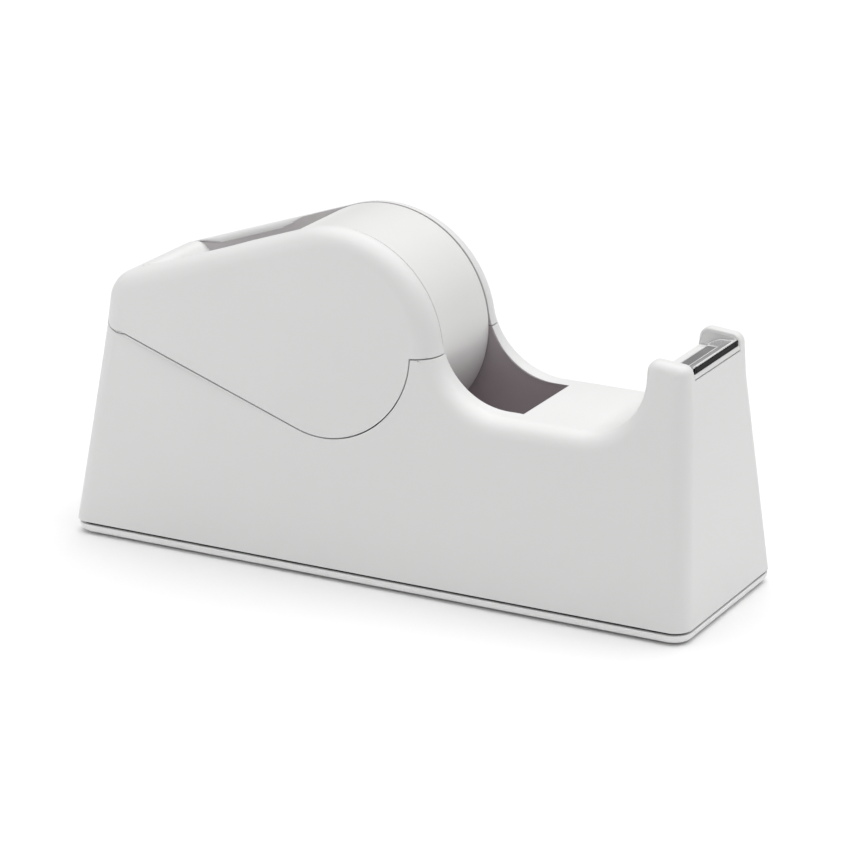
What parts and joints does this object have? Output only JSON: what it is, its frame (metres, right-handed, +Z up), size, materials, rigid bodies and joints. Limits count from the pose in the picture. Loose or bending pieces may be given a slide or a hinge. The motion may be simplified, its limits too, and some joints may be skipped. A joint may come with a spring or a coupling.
{
  "type": "tape dispenser",
  "caption": "Weighted desktop tape dispenser in white plastic: a rear-hinged lid over the tape roll, a well for a finger in front of the roll and a toothed metal cutter at the front.",
  "frame": {"origin": "on the table under the middle of the body", "axes": "+X towards the cutter, +Y to the far long side, +Z up"},
  "size_m": [0.2, 0.063, 0.1016],
  "materials": {
    "white_body": "fine even texture, satin",
    "white_base": "fine even texture, satin",
    "ballast": "rough cast",
    "screw_steel": "zinc plated",
    "foot_rubber": "matt black",
    "pin_steel": "ground",
    "tape": "smooth wound film, slightly glossy",
    "core_card": "plain cardboard",
    "hub_plastic": "satin",
    "bright_metal": "bright plated",
    "grey_pad": "satin grey",
    "black_bar": "glossy black"
  },
  "bodies": {
    "body": {"body_shell": "white_body", "base_plate": "white_base", "ballast_block": "ballast", "ballast_screws": "screw_steel", "base_screws": "screw_steel", "rubber_feet": "foot_rubber", "hub_axle": "pin_steel", "cutter_block": "white_body", "cutter_block_screws": "screw_steel", "blade_frame": "bright_metal", "rest_pad": "grey_pad", "blade": "bright_metal", "blade_clamp_bar": "black_bar", "clamp_rivets": "black_bar"},
    "lid": {"lid": "white_body", "hinge_pin": "pin_steel"},
    "roll": {"tape_roll": "tape", "tape_core": "core_card", "hub_near_half": "hub_plastic", "hub_far_half": "hub_plastic"}
  },
  "joints": [
    {"name": "lid_hinge", "type": "hinge", "parent": "body", "child": "lid", "pos_m": [-0.0863, 0, 0.0712], "axis": [0, -1, 0], "range_deg": [0, 90]},
    {"name": "roll_spin", "type": "hinge", "parent": "body", "child": "roll", "pos_m": [-0.0174, 0, 0.0682], "axis": [0, 1, 0], "continuous": true}
  ]
}
